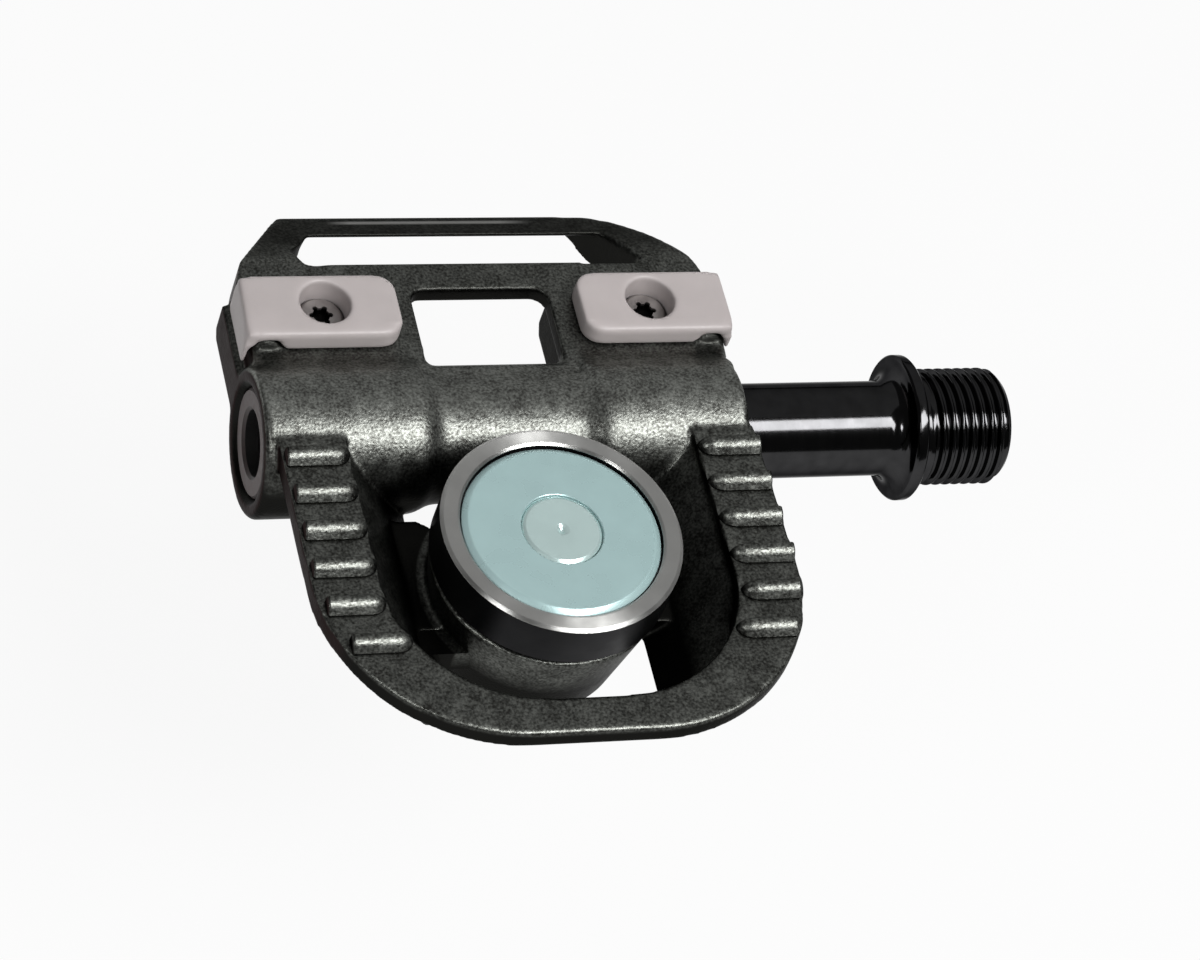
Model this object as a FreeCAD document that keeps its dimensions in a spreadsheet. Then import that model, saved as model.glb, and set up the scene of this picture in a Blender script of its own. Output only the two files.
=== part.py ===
"""Magnetic bicycle pedal: a cast body that spins on a threaded spindle.

Frame, in millimetres: the origin is on the spindle's axis, in the flange face that
seats on the crank. +X points along the thread into the crank, +Y to the pedal's
rear (the grip pads) and +Z up (the magnet's face).
"""

import math
import os
import re

import FreeCAD
import Part
import Sketcher

SIZES = {
    # Spindle: crank thread, flange and shaft.
    "thread_radius": 7.144,
    "thread_length": 11.9,
    "thread_chamfer": 1.0,
    "relief_radius": 6.5,
    "relief_width": 1.3,
    "flange_radius": 8.9,
    "flange_thickness": 1.6,
    "flange_bevel": 0.3,
    "shoulder_recess": 0.4,
    "shoulder_clearance": 0.15,
    "shaft_radius": 5.78,
    "shaft_fillet": 2.2,
    "shaft_exposed": 21.6,
    "key_across": 6.0,
    "key_depth": 8.0,
    # Axle tube of the body, measured from the pedal's mid-plane.
    "outboard_reach": 30.5,
    "inboard_reach": 28.8,
    "tube_radius": 8.9,
    "tube_edge": 0.5,
    "waist_radius": 7.7,
    "waist_half": 9.6,
    "waist_blend": 0.8,
    "mouth_bevel": 0.75,
    # Front loop with its two rails.
    "rail_reach": 29.15,
    "rail_width": 7.95,
    "rail_top": 7.4,
    "rail_depth": 2.7,
    "rail_slope": 1.73,
    "loop_front": 47.4,
    "loop_corner": 22.0,
    "front_bar": 5.0,
    "inner_corner": 17.0,
    # Ribs across the rails.
    "rib_count": 6,
    "rib_first": 7.54,
    "rib_pitch": 5.29,
    "rib_width": 3.0,
    "rib_height": 0.95,
    "last_rib_extra": 1.6,
    # Sloped walls below the rails, and the magnet's boss.
    "wall_foot": 12.4,
    "wall_width": 3.5,
    "wall_front": 38.0,
    "floor_level": 3.2,
    "boss_radius": 13.9,
    "boss_foot": 11.6,
    "boss_hollow": 9.4,
    "boss_top": 5.3,
    "boss_low": 7.5,
    "magnet_back": 22.3,
    "web_front": 27.3,
    "web_rear": 12.0,
    "web_slant": 2.0,
    "web_inner": 9.5,
    "web_height": 3.6,
    "bridge_half": 6.0,
    # Rear plate with its window, slot, blocks and bar.
    "plate_top": 5.8,
    "plate_thickness": 2.4,
    "plate_reach": 29.4,
    "plate_rear": 31.85,
    "rear_corner_side": 20.3,
    "rear_corner_end": 17.5,
    "rear_corner_radius": 18.0,
    "bevel_side": 19.5,
    "bevel_inset": 0.9,
    "bevel_middle_y": 22.4,
    "bevel_end": 21.8,
    "frame_depth": 7.0,
    "slope_start": 23.0,
    "rear_slope": 20.0,
    "hollow_half": 19.8,
    "window_half": 8.6,
    "window_rear": 17.85,
    "window_corner": 1.8,
    "slot_front": 21.9,
    "slot_rear": 27.9,
    "slot_tip_x": 21.4,
    "slot_tip_y": 24.4,
    "slot_left_front": 18.8,
    "slot_left_rear": 18.8,
    "rim_front": 20.55,
    "rim_rear": 15.2,
    "rim_draft": 1.6,
    "bar_edge": 0.6,
    "bar_depth": 3.2,
    "block_inner": 9.8,
    "block_low": 3.5,
    "block_rear": 19.1,
    "block_bevel": 1.3,
    "ledge_extra": 1.1,
    "ledge_top": 2.0,
    "ledge_front": 7.0,
    # Grip pads, their locating ridge, spigot and screw.
    "pad_inner": 11.25,
    "lug_thickness": 0.6,
    "pad_front": 9.0,
    "pad_rear": 18.0,
    "pad_height": 2.9,
    "pad_corner": 2.4,
    "lug_drop": 1.1,
    "ridge_base": 4.0,
    "ridge_crown": 1.9,
    "ridge_height": 1.25,
    "spigot_radius": 4.2,
    "spigot_drop": 2.8,
    "screw_offset": 0.475,
    "screw_back": 13.95,
    "screw_seat": 1.3,
    "screw_head_radius": 2.75,
    "screw_head_height": 1.6,
    "screw_radius": 1.5,
    "screw_length": 7.0,
    "screw_hole_spare": 0.6,
    "sink_radius": 3.05,
    "lobe_core": 1.05,
    "lobe_ring": 1.12,
    "lobe_radius": 0.34,
    "lobe_depth": 1.1,
    # Magnet: pot, ring, filler, bolt and what clamps them to the boss.
    "damper_thickness": 0.8,
    "damper_radius": 12.6,
    "cup_radius": 14.2,
    "cup_height": 6.34,
    "cup_floor": 1.8,
    "cup_bore": 11.9,
    "cup_edge": 0.55,
    "magnet_radius": 11.7,
    "magnet_sink": 0.1,
    "magnet_edge": 0.6,
    "filler_sink": 1.0,
    "bolt_head_radius": 4.7,
    "bolt_head_height": 2.4,
    "bolt_head_rim": 0.4,
    "bolt_sink": 0.1,
    "bolt_dimple_radius": 0.75,
    "bolt_dimple_depth": 0.5,
    "bolt_radius": 2.5,
    "nut_across": 8.0,
    "nut_height": 4.0,
    "nut_drop": 1.8,
    "nut_pocket_radius": 5.3,
    "washer_radius": 5.0,
    "washer_thickness": 0.8,
    # Bearings, spacers, bush, seal and end screw inside the tube.
    "journal_radius": 3.0,
    "bearing_radius": 6.5,
    "bearing_width": 5.0,
    "race_inner": 4.0,
    "race_outer": 5.5,
    "ball_count": 9,
    "ball_radius": 1.0,
    "groove_clearance": 0.06,
    "cage_half": 1.5,
    "cage_inner": 4.35,
    "cage_outer": 5.15,
    "cage_pocket": 1.1,
    "shield_thickness": 0.25,
    "shield_sink": 0.15,
    "shield_bore": 4.3,
    "retainer_sink": 0.5,
    "retainer_length": 4.5,
    "retainer_bore": 3.95,
    "retainer_bevel": 0.35,
    "spacer_length": 2.0,
    "stop_radius": 5.7,
    "stop_length": 2.0,
    "collar_radius": 4.4,
    "collar_length": 3.0,
    "bore_radius": 6.3,
    "bush_radius": 7.2,
    "bush_length": 11.8,
    "seal_radius": 7.6,
    "seal_length": 1.7,
    "seal_sink": 0.3,
    "end_washer_radius": 3.6,
    "end_washer_thickness": 0.8,
    "end_gap": 0.2,
    "end_screw_radius": 2.0,
    "end_screw_length": 9.0,
    "end_screw_head_radius": 3.0,
    "end_screw_head_height": 2.0,
    "end_key_across": 2.5,
    "end_key_depth": 1.2,
    "end_hole_spare": 1.5,
    # Clearances, all radial or face to face.
    "seat_clearance": 0.01,
    "thread_clearance": 0.02,
    "running_clearance": 0.03,
    "lip_clearance": 0.05,
    "pad_clearance": 0.1,
    "bolt_clearance": 0.15,
}

# Places along the spindle, each worked out from the sizes above.
MID = "(-flange_thickness - shaft_exposed - inboard_reach)"
TUBE_OUT = f"({MID} - outboard_reach)"
TUBE_IN = f"({MID} + inboard_reach)"
RETAINER_OUT = f"({TUBE_OUT} + retainer_sink)"
BEARING_ONE = f"({RETAINER_OUT} + retainer_length)"
SPACER_START = f"({BEARING_ONE} + bearing_width)"
BEARING_TWO = f"({SPACER_START} + spacer_length)"
STOP_START = f"({BEARING_TWO} + bearing_width)"
SEAL_START = f"({TUBE_IN} - seal_sink - seal_length)"
BUSH_START = f"({SEAL_START} - bush_length)"
BALL_PITCH = "((race_inner + race_outer) / 2)"

# Heights of the magnet's stack above the spindle's axis.
CUP_LOW = "(boss_top + damper_thickness)"
CUP_TOP = f"({CUP_LOW} + cup_height)"
CUP_FLOOR_TOP = f"({CUP_LOW} + cup_floor)"
BOLT_TOP = f"({CUP_TOP} - bolt_sink)"
NUT_TOP = "(nut_height - nut_drop)"
PAD_TOP = "(plate_top + pad_height)"
SCREW_SEAT_LEVEL = "(plate_top - screw_seat)"

# Places across the pedal that the grip pads share with their blocks, from the mid-plane.
PAD_REACH = "(plate_reach + pad_clearance + lug_thickness)"
RIDGE_INNER = "(plate_reach - ridge_base)"
SCREW_ACROSS = f"((pad_inner + {PAD_REACH}) / 2 - screw_offset)"

doc = FreeCAD.newDocument("magnetic_pedal")
sheet = doc.addObject("Spreadsheet::Sheet", "sizes")
for row, (alias, number) in enumerate(SIZES.items(), start=1):
    sheet.set(f"A{row}", alias)
    sheet.set(f"B{row}", str(number))
    sheet.setAlias(f"B{row}", alias)
doc.recompute()

pieces = []


def linked(text):
    """The expression with every size written as a reference to the sheet."""
    return re.sub(r"[a-z_]+", lambda word: f"sizes.{word[0]}" if word[0] in SIZES else word[0], text)


def amount(text):
    """The number that an expression gives now, as a start value for a sketch."""
    return float(sheet.evalExpression(linked(text)))


def bind(thing, path, text):
    """Tie one property of an object to the sheet."""
    thing.setExpression(path, linked(text))


def new_body(label, x="0", y="0", z="0"):
    """A sub-part of its own, placed by three expressions."""
    body = doc.addObject("PartDesign::Body", label)
    body.Label = label
    for axis, text in zip("xyz", (x, y, z)):
        bind(body, f"Placement.Base.{axis}", text)
    pieces.append(body)
    return body


def new_sketch(body, name, plane, lift="0", turn=None):
    """A sketch on one of the body's origin planes, lifted along its normal, tilted if asked."""
    sketch = body.newObject("Sketcher::SketchObject", name)
    support = next(item for item in body.Origin.OriginFeatures if item.Role == plane)
    sketch.AttachmentSupport = [(support, "")]
    sketch.MapMode = "FlatFace"
    if turn is not None:
        axis, angle = turn
        rotation = FreeCAD.Rotation(FreeCAD.Vector(*axis), amount(angle))
        sketch.AttachmentOffset = FreeCAD.Placement(FreeCAD.Vector(), rotation)
        bind(sketch, "AttachmentOffset.Rotation.Angle", angle)
    bind(sketch, "AttachmentOffset.Base.z", lift)
    return sketch


def pin_point(sketch, geometry, end, x, y):
    """Hold one point of a sketch at two expressions, measured from the sketch's origin."""
    for kind, text in (("DistanceX", x), ("DistanceY", y)):
        index = sketch.addConstraint(Sketcher.Constraint(kind, -1, 1, geometry, end, amount(text)))
        bind(sketch, f"Constraints[{index}]", text)


def add_circle(sketch, x, y, radius):
    """A circle with its centre and radius tied to the sheet."""
    centre = FreeCAD.Vector(amount(x), amount(y), 0)
    geometry = sketch.addGeometry(Part.Circle(centre, FreeCAD.Vector(0, 0, 1), amount(radius)), False)
    pin_point(sketch, geometry, 3, x, y)
    index = sketch.addConstraint(Sketcher.Constraint("Radius", geometry, amount(radius)))
    bind(sketch, f"Constraints[{index}]", radius)


def add_arc(sketch, start, end, radius, left_turn):
    """An arc from start to end; returns its geometry with the ends that lie at start and end."""
    chord = end - start
    side = FreeCAD.Vector(-chord.y, chord.x, 0).normalize() * (1 if left_turn else -1)
    rise = math.sqrt(max(radius ** 2 - chord.Length ** 2 / 4, 0))
    centre = start + chord * 0.5 + side * rise
    first, last = (start, end) if left_turn else (end, start)
    angles = [math.atan2(point.y - centre.y, point.x - centre.x) for point in (first, last)]
    circle = Part.Circle(centre, FreeCAD.Vector(0, 0, 1), radius)
    geometry = sketch.addGeometry(Part.ArcOfCircle(circle, *angles), False)
    return (geometry, 1, 2) if left_turn else (geometry, 2, 1)


def add_outline(sketch, corners):
    """A closed outline. A corner is (x, y), or (x, y, radius, turn) where an arc leads on from it."""
    points = [FreeCAD.Vector(amount(corner[0]), amount(corner[1]), 0) for corner in corners]
    runs = []
    for place, corner in enumerate(corners):
        start = points[place]
        end = points[(place + 1) % len(points)]
        if len(corner) == 4:
            run = add_arc(sketch, start, end, amount(corner[2]), corner[3] == "left")
            index = sketch.addConstraint(Sketcher.Constraint("Radius", run[0], amount(corner[2])))
            bind(sketch, f"Constraints[{index}]", corner[2])
        else:
            run = (sketch.addGeometry(Part.LineSegment(start, end), False), 1, 2)
        runs.append(run)
    for place, run in enumerate(runs):
        before = runs[place - 1]
        sketch.addConstraint(Sketcher.Constraint("Coincident", before[0], before[2], run[0], run[1]))
        pin_point(sketch, run[0], run[1], corners[place][0], corners[place][1])


def rectangle(left, right, low, high):
    """The four corners of an upright rectangle."""
    return [(left, low), (right, low), (right, high), (left, high)]


def mirrored(corners):
    """The same outline on the other side of the mid-plane, still drawn the same way round."""
    flipped = []
    for place in reversed(range(len(corners))):
        x, y = corners[place][:2]
        flipped.append((f"-({x})", y) + tuple(corners[place - 1][2:]))
    return flipped


def hexagon(across):
    """The corners of a hexagon with the given width across its flats, as expressions."""
    corner = f"(({across}) / sqrt(3))"
    return [(f"{corner} * cos({60 * step})", f"{corner} * sin({60 * step})") for step in range(6)]


def pad(body, sketch, length, backwards=False):
    """Grow a sketch along its normal, or against it."""
    feature = body.newObject("PartDesign::Pad", f"{sketch.Name}_pad")
    feature.Profile = sketch
    feature.Reversed = backwards
    bind(feature, "Length", length)
    return feature


def pocket(body, sketch, depth=None, backwards=False):
    """Cut a sketch against its normal, to a depth or right through."""
    doc.recompute()
    before = body.Shape.Volume
    feature = body.newObject("PartDesign::Pocket", f"{sketch.Name}_cut")
    feature.Profile = sketch
    feature.Reversed = backwards
    if depth is None:
        feature.Type = "ThroughAll"
    else:
        bind(feature, "Length", depth)
    doc.recompute()
    if body.Shape.Volume >= before:
        raise RuntimeError(f"{sketch.Name} cuts nothing")
    return feature


def mirror(body, features):
    """Repeat features on the other side of the body's mid-plane."""
    feature = body.newObject("PartDesign::Mirrored", f"{features[0].Name}_mirrored")
    feature.Originals = features
    plane = next(item for item in body.Origin.OriginFeatures if item.Role == "YZ_Plane")
    feature.MirrorPlane = (plane, [""])
    body.Tip = feature
    return feature


def turn_profile(body, name, corners, kind="PartDesign::Revolution", plane="XY_Plane", axis="H_Axis"):
    """Turn an outline once round an axis of its own sketch, as a solid or as a groove."""
    sketch = new_sketch(body, name, plane)
    add_outline(sketch, corners)
    feature = body.newObject(kind, f"{name}_turned")
    feature.Profile = sketch
    feature.ReferenceAxis = (sketch, [axis])
    feature.Angle = 360
    return feature


def around(body, feature, sketch, axis, count):
    """Repeat a feature evenly round an axis of a sketch."""
    pattern = body.newObject("PartDesign::PolarPattern", f"{feature.Name}_round")
    pattern.Originals = [feature]
    pattern.Axis = (sketch, [axis])
    pattern.Angle = 360
    bind(pattern, "Occurrences", count)
    body.Tip = pattern
    return pattern


def loft(body, name, sections):
    """Grow a solid from the first sketch to the last."""
    feature = body.newObject("PartDesign::AdditiveLoft", name)
    feature.Profile = sections[0]
    feature.Sections = sections[1:]
    feature.Ruled = True


def sleeve(label, start, length, inner, outer):
    """A plain ring round the spindle's axis."""
    body = new_body(label, x=start)
    turn_profile(body, f"{label}_section", rectangle("0", length, inner, outer))
    return body


def upright_ring(label, low, corners):
    """A piece turned round the magnet's upright axis; corners are (radius, height above low)."""
    body = new_body(label, x=MID, y="-magnet_back", z=low)
    turn_profile(body, f"{label}_section", corners, plane="XZ_Plane", axis="V_Axis")
    return body


def loop_outline(rear):
    """The front loop's outer edge in plan, from the given y round the front and back."""
    straight = "-(loop_front - loop_corner)"
    flat = "(rail_reach - loop_corner)"
    return [
        ("-rail_reach", rear),
        ("-rail_reach", straight, "loop_corner", "left"),
        (f"-{flat}", "-loop_front"),
        (flat, "-loop_front", "loop_corner", "left"),
        ("rail_reach", straight),
        ("rail_reach", rear),
    ]


def front_loop(body):
    """Two rails and the front bar: a flat loop that rises gently to the front."""
    tilt = ((1, 0, 0), "-rail_slope")
    sketch = new_sketch(body, "loop_plan", "XY_Plane", "rail_top - rail_depth", tilt)
    inner_side = "(rail_reach - rail_width)"
    inner_front = "(loop_front - front_bar)"
    inner_straight = f"-({inner_front} - inner_corner)"
    inner_flat = f"({inner_side} - inner_corner)"
    add_outline(sketch, loop_outline("waist_radius / 4"))
    add_outline(sketch, [
        (f"-{inner_side}", "0"),
        (f"-{inner_side}", inner_straight, "inner_corner", "left"),
        (f"-{inner_flat}", f"-{inner_front}"),
        (inner_flat, f"-{inner_front}", "inner_corner", "left"),
        (inner_side, inner_straight),
        (inner_side, "0"),
    ])
    pad(body, sketch, "rail_depth")


def axle_tube(body):
    """The tube that the spindle runs in, slimmer between the two bearing places."""
    turn_profile(body, "tube_section", [
        ("-outboard_reach", "0"),
        ("-outboard_reach", "tube_radius - tube_edge"),
        ("tube_edge - outboard_reach", "tube_radius"),
        ("-waist_half - waist_blend", "tube_radius"),
        ("-waist_half", "waist_radius"),
        ("waist_half", "waist_radius"),
        ("waist_half + waist_blend", "tube_radius"),
        ("inboard_reach - tube_edge", "tube_radius"),
        ("inboard_reach", "tube_radius - tube_edge"),
        ("inboard_reach", "0"),
    ])


def side_walls(body):
    """A wall under each rail that slopes inwards to the floor level."""
    top = "rail_top - rail_depth / 2 + wall_front * tan(rail_slope) / 2"
    wall = [
        ("wall_foot", "-floor_level"),
        ("wall_foot + wall_width", "-floor_level"),
        ("rail_reach - rail_width + wall_width", top),
        ("rail_reach - rail_width", top),
    ]
    sketch = new_sketch(body, "wall_section", "XZ_Plane", "waist_radius / 2")
    add_outline(sketch, wall)
    add_outline(sketch, mirrored(wall))
    pad(body, sketch, "wall_front - waist_radius / 2")


def magnet_boss(body):
    """The tapered boss under the magnet, its webs to the walls and its bridge to the tube."""
    sections = []
    for name, level, radius in (("foot", "-boss_low", "boss_foot"), ("crown", "boss_top", "boss_radius")):
        sketch = new_sketch(body, f"boss_{name}_plan", "XY_Plane", level)
        add_circle(sketch, "0", "-magnet_back", radius)
        sections.append(sketch)
    loft(body, "boss", sections)
    webs = new_sketch(body, "web_plan", "XY_Plane", "-floor_level")
    web = [
        ("web_inner", "-web_front"),
        ("wall_foot + wall_width", "-web_front"),
        ("wall_foot + wall_width", "-web_rear"),
        ("wall_foot", "-web_rear"),
        ("web_inner", "-web_rear - web_slant"),
    ]
    add_outline(webs, web)
    add_outline(webs, mirrored(web))
    pad(body, webs, "web_height")
    bridge = new_sketch(body, "bridge_plan", "XY_Plane", "-nut_drop")
    add_outline(bridge, rectangle("-bridge_half", "bridge_half", "-magnet_back", "-waist_radius / 2"))
    pad(body, bridge, "nut_drop + boss_top / 2")


def rear_plate(body):
    """The rear plate: a deep rim with a hollow underside, bevelled at one corner, round at the other."""
    outline = new_sketch(body, "plate_plan", "XY_Plane", "plate_top")
    add_outline(outline, [
        ("-plate_reach", "0"),
        ("plate_reach", "0"),
        ("plate_reach", "rear_corner_side", "rear_corner_radius", "left"),
        ("rear_corner_end", "plate_rear"),
        ("-bevel_end", "plate_rear"),
        ("bevel_inset - plate_reach", "bevel_middle_y"),
        ("-plate_reach", "bevel_side"),
    ])
    pad(body, outline, "frame_depth", backwards=True)
    hollow = new_sketch(body, "hollow_plan", "XY_Plane", "plate_top - plate_thickness")
    add_outline(hollow, rectangle("-hollow_half", "hollow_half", "waist_radius", "slot_rear"))
    pocket(body, hollow, "frame_depth - plate_thickness")
    fall = "tan(rear_slope)"
    beyond = "(plate_rear + plate_thickness)"
    bar_front = f"(plate_top - (slot_rear - slope_start) * {fall} - bar_edge)"
    bar_rear = f"(plate_top - (plate_rear - slope_start) * {fall} - bar_depth)"
    under_bar = new_sketch(body, "under_bar_section", "YZ_Plane", "hollow_half")
    add_outline(under_bar, [
        ("slot_front", bar_front),
        ("slot_front", "plate_top - 2 * frame_depth"),
        (beyond, "plate_top - 2 * frame_depth"),
        (beyond, bar_rear),
        ("plate_rear", bar_rear),
        ("slot_rear", bar_front),
    ])
    pocket(body, under_bar, "2 * hollow_half")


def pad_blocks(body):
    """The thick blocks that carry the grip pads, each with a locating ridge on top."""
    section = new_sketch(body, "block_section", "YZ_Plane", "block_inner")
    add_outline(section, [
        ("0", "-block_low"),
        ("block_rear - block_bevel", "-block_low"),
        ("block_rear", "block_bevel - block_low"),
        ("block_rear", "plate_top"),
        ("0", "plate_top"),
    ])
    block = pad(body, section, "plate_reach - block_inner")
    ledge_section = new_sketch(body, "ledge_section", "YZ_Plane", "block_inner")
    add_outline(ledge_section, [
        ("ledge_front", "-block_low"),
        ("block_rear - block_bevel", "-block_low"),
        ("block_rear", "block_bevel - block_low"),
        ("block_rear", "ledge_top"),
        ("ledge_front", "ledge_top"),
    ])
    ledge = pad(body, ledge_section, "plate_reach + ledge_extra - block_inner")
    ridge_plan = new_sketch(body, "ridge_section", "XZ_Plane", "-pad_rear")
    slant = "((ridge_base - ridge_crown) / 2)"
    add_outline(ridge_plan, [
        (RIDGE_INNER, "plate_top - ridge_height"),
        ("plate_reach", "plate_top - ridge_height"),
        ("plate_reach", "plate_top"),
        (f"plate_reach - {slant}", "plate_top + ridge_height"),
        (f"{RIDGE_INNER} + {slant}", "plate_top + ridge_height"),
        (RIDGE_INNER, "plate_top"),
    ])
    ridge = pad(body, ridge_plan, "pad_rear - pad_front")
    mirror(body, [block, ledge, ridge])


def rib_run(body, name, inner, outer, first, count):
    """Half-round ribs across one rail, from the given y forwards."""
    section = new_sketch(body, name, "YZ_Plane", inner, ((0, 0, 1), "-rail_slope"))
    half = "(rib_width / 2)"
    add_outline(section, [
        (f"{half} - ({first})", "rail_top", f"(rib_height / 2 + {half} * {half} / (2 * rib_height))", "left"),
        (f"-({first}) - {half}", "rail_top"),
        (f"-({first}) - {half}", "rail_top - rail_depth / 2"),
        (f"{half} - ({first})", "rail_top - rail_depth / 2"),
    ])
    rib = pad(body, section, f"({outer}) - ({inner})")
    if count is None:
        return
    row_of_ribs = body.newObject("PartDesign::LinearPattern", f"{name}_row")
    row_of_ribs.Originals = [rib]
    row_of_ribs.Direction = (section, ["H_Axis"])
    row_of_ribs.Reversed = True
    bind(row_of_ribs, "Length", f"rib_pitch * ({count} - 1)")
    bind(row_of_ribs, "Occurrences", count)
    body.Tip = row_of_ribs


def rail_ribs(body):
    """The ribs of both rails; the last reaches further in, and the loop's outer edge trims it."""
    inner = "(rail_reach - rail_width)"
    last = "(rib_first + rib_pitch * (rib_count - 1))"
    rib_run(body, "inner_ribs", inner, "rail_reach", "rib_first", "(rib_count - 1)")
    rib_run(body, "outer_ribs", "-rail_reach", f"-{inner}", "rib_first", "(rib_count - 1)")
    rib_run(body, "inner_last_rib", f"{inner} - last_rib_extra", "rail_reach", last, None)
    rib_run(body, "outer_last_rib", "-rail_reach", f"last_rib_extra - {inner}", last, None)
    trim = new_sketch(body, "trim_plan", "XY_Plane")
    beyond = "(rail_reach + loop_corner)"
    start = "-(loop_front - loop_corner)"
    below = "-(loop_front + loop_corner)"
    edge = loop_outline(start)[1:5]
    add_outline(trim, edge + [(beyond, start), (beyond, below), (f"-{beyond}", below), (f"-{beyond}", start)])
    pocket(body, trim, "rail_top + loop_front", backwards=True)


def openings(body):
    """The window and the slot through the rear plate."""
    window = new_sketch(body, "window_plan", "XY_Plane", "plate_top")
    round_x = "(window_half - window_corner)"
    round_y = "(window_rear - window_corner)"
    add_outline(window, [
        ("-window_half", "waist_radius"),
        ("window_half", "waist_radius"),
        ("window_half", round_y, "window_corner", "left"),
        (round_x, "window_rear"),
        (f"-{round_x}", "window_rear", "window_corner", "left"),
        ("-window_half", round_y),
    ])
    pocket(body, window)
    lean = "(rim_front - rim_rear) / (plate_rear - slot_front)"
    slot = new_sketch(body, "slot_plan", "XY_Plane", "plate_top")
    add_outline(slot, [
        ("-slot_left_front", "slot_front"),
        ("rim_front + rim_draft", "slot_front"),
        (f"rim_front + rim_draft - {lean} * (slot_rear - slot_front)", "slot_rear"),
        ("-slot_left_rear", "slot_rear"),
        ("-slot_tip_x", "slot_tip_y"),
    ])
    pocket(body, slot)


def rear_corner(body):
    """The rim's slanted inner wall at the slot's rounded end, drafted from its foot to its crown."""
    sections = []
    for name, level, draft in (("foot", "plate_top - frame_depth", "0"), ("crown", "plate_top", "rim_draft")):
        sketch = new_sketch(body, f"rim_{name}_plan", "XY_Plane", level)
        add_outline(sketch, [
            (f"rim_front + {draft}", "slot_front"),
            ("(hollow_half + plate_reach) / 2", "slot_front"),
            ("rear_corner_end", "plate_rear"),
            (f"rim_rear + {draft}", "plate_rear"),
        ])
        sections.append(sketch)
    loft(body, "rim_wall", sections)


def rear_slope(body):
    """The plate's rear falls away to the bar's outer edge."""
    beyond = "(plate_rear + plate_thickness)"
    slope = new_sketch(body, "slope_section", "YZ_Plane", "plate_reach")
    add_outline(slope, [
        ("slope_start", "plate_top"),
        (beyond, f"plate_top - ({beyond} - slope_start) * tan(rear_slope)"),
        (beyond, "plate_top + plate_thickness"),
        ("slope_start", "plate_top + plate_thickness"),
    ])
    pocket(body, slope, "2 * plate_reach")


def tube_bore(body):
    """The stepped bore: bearings at the outboard end, bush and seal at the crank end."""
    turn_profile(body, "bore_section", [
        ("-outboard_reach", "0"),
        ("-outboard_reach", "bearing_radius + mouth_bevel"),
        ("mouth_bevel - outboard_reach", "bearing_radius + seat_clearance"),
        (f"{STOP_START} - {MID}", "bearing_radius + seat_clearance"),
        (f"{STOP_START} - {MID}", "stop_radius"),
        (f"{STOP_START} + stop_length - {MID}", "stop_radius"),
        (f"{STOP_START} + stop_length - {MID}", "bore_radius"),
        (f"{BUSH_START} - {MID}", "bore_radius"),
        (f"{BUSH_START} - {MID}", "bush_radius + seat_clearance"),
        (f"{SEAL_START} - {MID}", "bush_radius + seat_clearance"),
        (f"{SEAL_START} - {MID}", "seal_radius + seat_clearance"),
        ("inboard_reach", "seal_radius + seat_clearance"),
        ("inboard_reach", "tube_radius"),
        ("inboard_reach + tube_radius", "tube_radius"),
        ("inboard_reach + tube_radius", "0"),
    ], kind="PartDesign::Groove")


def fastener_holes(body):
    """The bolt hole, nut pocket and hollow in the boss, and the pads' sockets and screw holes."""
    bolt_hole = new_sketch(body, "bolt_hole_plan", "XY_Plane", "boss_top")
    add_circle(bolt_hole, "0", "-magnet_back", "bolt_radius + bolt_clearance")
    pocket(body, bolt_hole)
    nut_pocket = new_sketch(body, "nut_pocket_plan", "XY_Plane", f"{NUT_TOP} + washer_thickness")
    add_circle(nut_pocket, "0", "-magnet_back", "nut_pocket_radius")
    pocket(body, nut_pocket, "nut_height + washer_thickness")
    hollow = new_sketch(body, "boss_hollow_plan", "XY_Plane", "-nut_drop")
    add_circle(hollow, "0", "-magnet_back", "boss_hollow")
    pocket(body, hollow, "boss_low - nut_drop")
    sockets = new_sketch(body, "spigot_socket_plan", "XY_Plane", "plate_top")
    screws = new_sketch(body, "screw_hole_plan", "XY_Plane", "plate_top")
    for side in ("-", ""):
        add_circle(sockets, f"{side}{SCREW_ACROSS}", "screw_back", "spigot_radius + pad_clearance")
        add_circle(screws, f"{side}{SCREW_ACROSS}", "screw_back", "screw_radius + thread_clearance")
    pocket(body, sockets, "spigot_drop")
    pocket(body, screws, "screw_seat + screw_length + screw_hole_spare")


def make_pedal_body():
    """The one-piece cast body, modelled about its own mid-plane."""
    body = new_body("pedal_body", x=MID)
    front_loop(body)
    rail_ribs(body)
    side_walls(body)
    magnet_boss(body)
    rear_plate(body)
    pad_blocks(body)
    axle_tube(body)
    openings(body)
    rear_corner(body)
    rear_slope(body)
    tube_bore(body)
    fastener_holes(body)


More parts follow.
